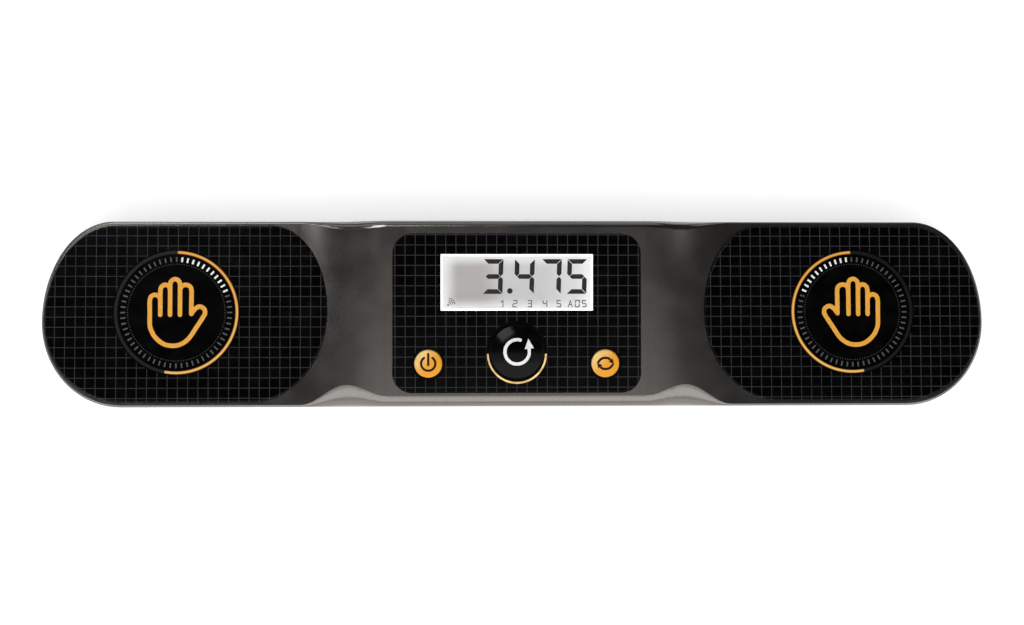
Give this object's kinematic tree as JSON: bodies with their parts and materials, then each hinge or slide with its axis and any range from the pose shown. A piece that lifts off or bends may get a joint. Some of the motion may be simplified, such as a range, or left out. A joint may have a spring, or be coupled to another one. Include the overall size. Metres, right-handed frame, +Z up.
{
  "type": "speed cube timer",
  "caption": "Long flat competition timer with a touch pad and light ring at each end, a tilted display console, sprung buttons and a hinged battery door.",
  "frame": {"origin": "on the table, under the middle of the housing", "axes": "+X to the user's right, +Y away from the user, +Z up"},
  "size_m": [0.28, 0.055, 0.0231],
  "materials": {
    "housing_shell": "satin gunmetal paint",
    "base_shell": "fine spark texture",
    "pad": "gloss with a thin printed grid",
    "panel": "gloss with a thin printed grid",
    "light": "translucent, lit orange",
    "window": "clear",
    "liquid_crystal": "grey reflective",
    "backlight": "white diffuser",
    "frame_plastic": "matt",
    "button": "satin amber",
    "reset_button": "high gloss",
    "component_plastic": "matt",
    "shield_metal": "tinned sheet",
    "circuit_board": "solder mask",
    "cable": "polyimide film",
    "cell_jacket": "plain printed jacket",
    "contact_metal": "nickel plated",
    "foot_rubber": "matt",
    "screw_metal": "black zinc"
  },
  "bodies": {
    "housing": {"top_housing": "housing_shell", "bottom_housing": "base_shell", "left_touch_pad": "pad", "right_touch_pad": "pad", "left_light_ring": "light", "right_light_ring": "light", "left_touch_board": "circuit_board", "right_touch_board": "circuit_board", "left_ring_leds": "light", "right_ring_leds": "light", "left_flex_cable": "cable", "right_flex_cable": "cable", "console_panel": "panel", "console_light_arc": "light", "display_window": "window", "display_glass": "liquid_crystal", "display_backlight": "backlight", "display_frame": "frame_plastic", "main_board": "circuit_board", "power_switch": "component_plastic", "mode_switch": "component_plastic", "reset_switch": "component_plastic", "processor_chip": "component_plastic", "wireless_module": "shield_metal", "flex_sockets": "component_plastic", "buzzer": "component_plastic", "data_jack": "component_plastic", "jack_board": "circuit_board", "front_battery_cell": "cell_jacket", "rear_battery_cell": "cell_jacket", "battery_contacts": "contact_metal", "rubber_feet": "foot_rubber", "housing_screws": "screw_metal", "board_screws": "screw_metal"},
    "power_button": {"power_button_cap": "button", "power_switch_stem": "component_plastic"},
    "mode_button": {"mode_button_cap": "button", "mode_switch_stem": "component_plastic"},
    "reset_button": {"reset_button_cap": "reset_button", "reset_switch_stem": "component_plastic"},
    "battery_hatch": {"battery_door": "base_shell"}
  },
  "joints": [
    {"name": "power_press", "type": "slide", "parent": "housing", "child": "power_button", "axis": [0, 0.0698, -0.9976], "range_m": [0, 0.0006], "stiffness_N_per_m": 2200, "springref_m": -0.0004},
    {"name": "mode_press", "type": "slide", "parent": "housing", "child": "mode_button", "axis": [0, 0.0698, -0.9976], "range_m": [0, 0.0006], "stiffness_N_per_m": 2200, "springref_m": -0.0004},
    {"name": "reset_press", "type": "slide", "parent": "housing", "child": "reset_button", "axis": [0, 0.0698, -0.9976], "range_m": [0, 0.0006], "stiffness_N_per_m": 2200, "springref_m": -0.0004},
    {"name": "battery_door_hinge", "type": "hinge", "parent": "housing", "child": "battery_hatch", "pos_m": [0.02565, 0, 0.0012], "axis": [0, -1, 0], "range_deg": [0, 60]}
  ]
}
